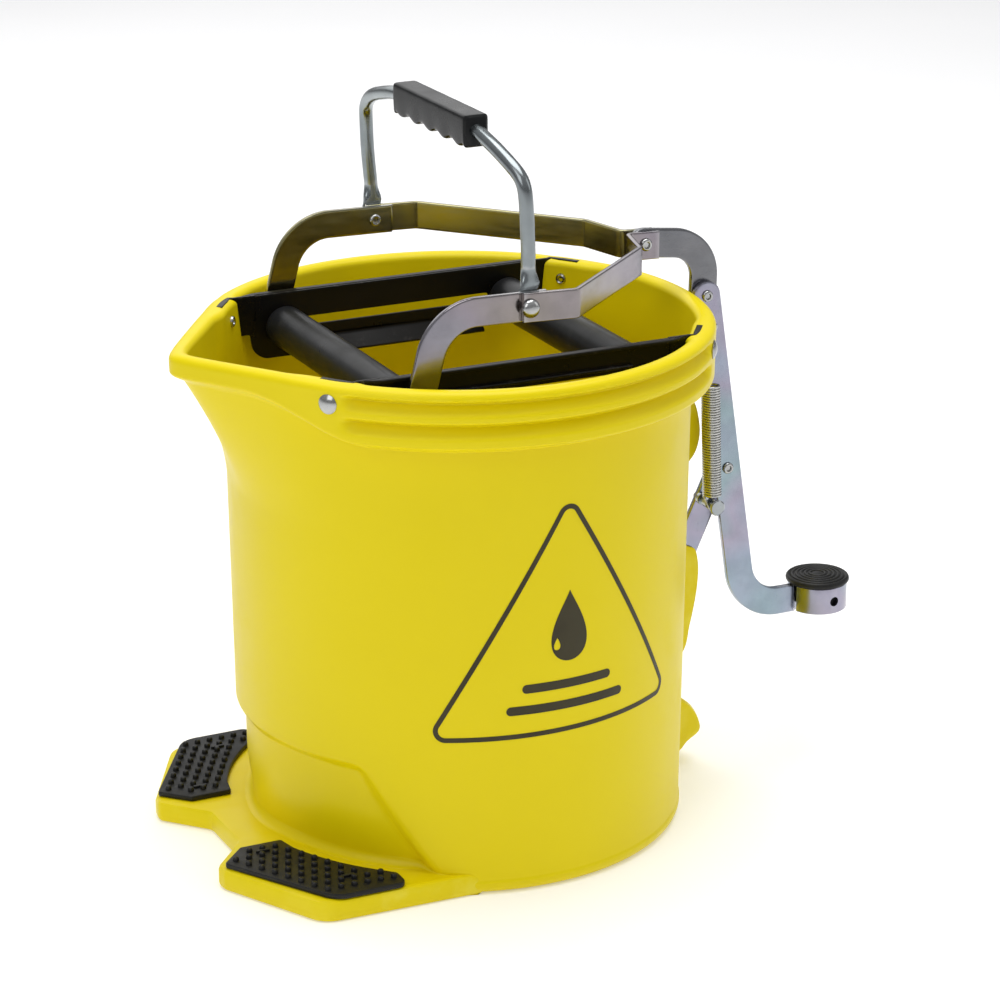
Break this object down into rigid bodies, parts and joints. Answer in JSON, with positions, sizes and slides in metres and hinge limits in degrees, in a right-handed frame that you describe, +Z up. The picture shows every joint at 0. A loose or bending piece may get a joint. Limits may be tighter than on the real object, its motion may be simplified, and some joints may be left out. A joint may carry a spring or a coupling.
{
  "type": "mop bucket with roller wringer",
  "caption": "Round plastic mop bucket with a pouring spout, a pedal-worked two-roller wringer across its mouth, and a swinging carrying handle.",
  "frame": {"origin": "on the floor under the middle of the round bucket", "axes": "+Z up, +X towards the pedal and away from the pouring spout, +Y across, along the rollers"},
  "size_m": [0.4357, 0.2948, 0.4286],
  "materials": {
    "yellow_plastic": "moulded, semi-gloss, lightly scuffed",
    "black_rubber": "moulded rubber, slightly dusty",
    "grey_rubber": "smooth ground rubber",
    "black_paint": "black coating, semi-gloss",
    "zinc_steel": "bright zinc plating",
    "chrome_rivets": "polished"
  },
  "bodies": {
    "base": {"bucket_body": "yellow_plastic", "foot_platform": "yellow_plastic", "upper_lug": "yellow_plastic", "strut_socket": "yellow_plastic", "tipping_lug": "yellow_plastic", "foot_pad_left": "black_rubber", "foot_pad_right": "black_rubber", "side_plate_left": "black_paint", "side_plate_right": "black_paint", "rear_axle": "zinc_steel", "rear_axle_cap_left": "zinc_steel", "rear_axle_cap_right": "zinc_steel", "strut": "zinc_steel", "fulcrum_spacer": "zinc_steel", "spring_pin": "zinc_steel", "strut_screw": "zinc_steel", "return_spring": "zinc_steel", "rim_rivet_front_left": "chrome_rivets", "rim_rivet_front_right": "chrome_rivets", "rim_rivet_rear_left": "chrome_rivets", "rim_rivet_rear_right": "chrome_rivets", "fulcrum_rivet": "chrome_rivets"},
    "lever": {"pedal_lever": "zinc_steel", "pedal_cap": "black_rubber", "hook_pin": "zinc_steel"},
    "fork_frame": {"gooseneck_arm_left": "zinc_steel", "gooseneck_arm_right": "zinc_steel", "fork_member_left": "zinc_steel", "fork_member_right": "zinc_steel", "rear_link": "zinc_steel", "link_rivet": "chrome_rivets", "lever_top_rivet": "chrome_rivets", "handle_rivet_left": "chrome_rivets", "handle_rivet_right": "chrome_rivets"},
    "handle": {"handle_rod": "zinc_steel", "handle_grip": "black_rubber"},
    "carriage": {"front_axle": "zinc_steel", "front_axle_cap_left": "zinc_steel", "front_axle_cap_right": "zinc_steel"},
    "squeeze_roller": {"front_roller": "grey_rubber"},
    "fixed_roller": {"rear_roller": "grey_rubber"}
  },
  "joints": [
    {"name": "pedal_hinge", "type": "hinge", "parent": "base", "child": "lever", "pos_m": [0.1755, -0.0043, 0.1858], "axis": [0, 1, 0], "range_deg": [0, 18.5], "stiffness_Nm_per_rad": 2.2, "springref_deg": -20.05, "deforming": ["return_spring"]},
    {"name": "frame_hinge", "type": "hinge", "parent": "lever", "child": "fork_frame", "pos_m": [0.1591, 0, 0.2948], "axis": [0, 1, 0], "range_deg": [-18.6, 0]},
    {"name": "handle_hinge", "type": "hinge", "parent": "fork_frame", "child": "handle", "pos_m": [-0.0063, 0, 0.3342], "axis": [0, 1, 0], "range_deg": [-90, 60]},
    {"name": "axle_slide", "type": "slide", "parent": "base", "child": "carriage", "axis": [1, 0, 0], "range_m": [0, 0.0356]},
    {"name": "front_roller_spin", "type": "hinge", "parent": "carriage", "child": "squeeze_roller", "pos_m": [-0.0717, 0, 0.282], "axis": [0, 1, 0], "continuous": true},
    {"name": "rear_roller_spin", "type": "hinge", "parent": "base", "child": "fixed_roller", "pos_m": [0.0719, 0, 0.282], "axis": [0, 1, 0], "continuous": true}
  ],
  "couplings": [
    {"joint": "frame_hinge", "follows": "pedal_hinge", "ratio": -0.998},
    {"joint": "axle_slide", "follows": "pedal_hinge", "m_per_rad": 0.10974}
  ]
}
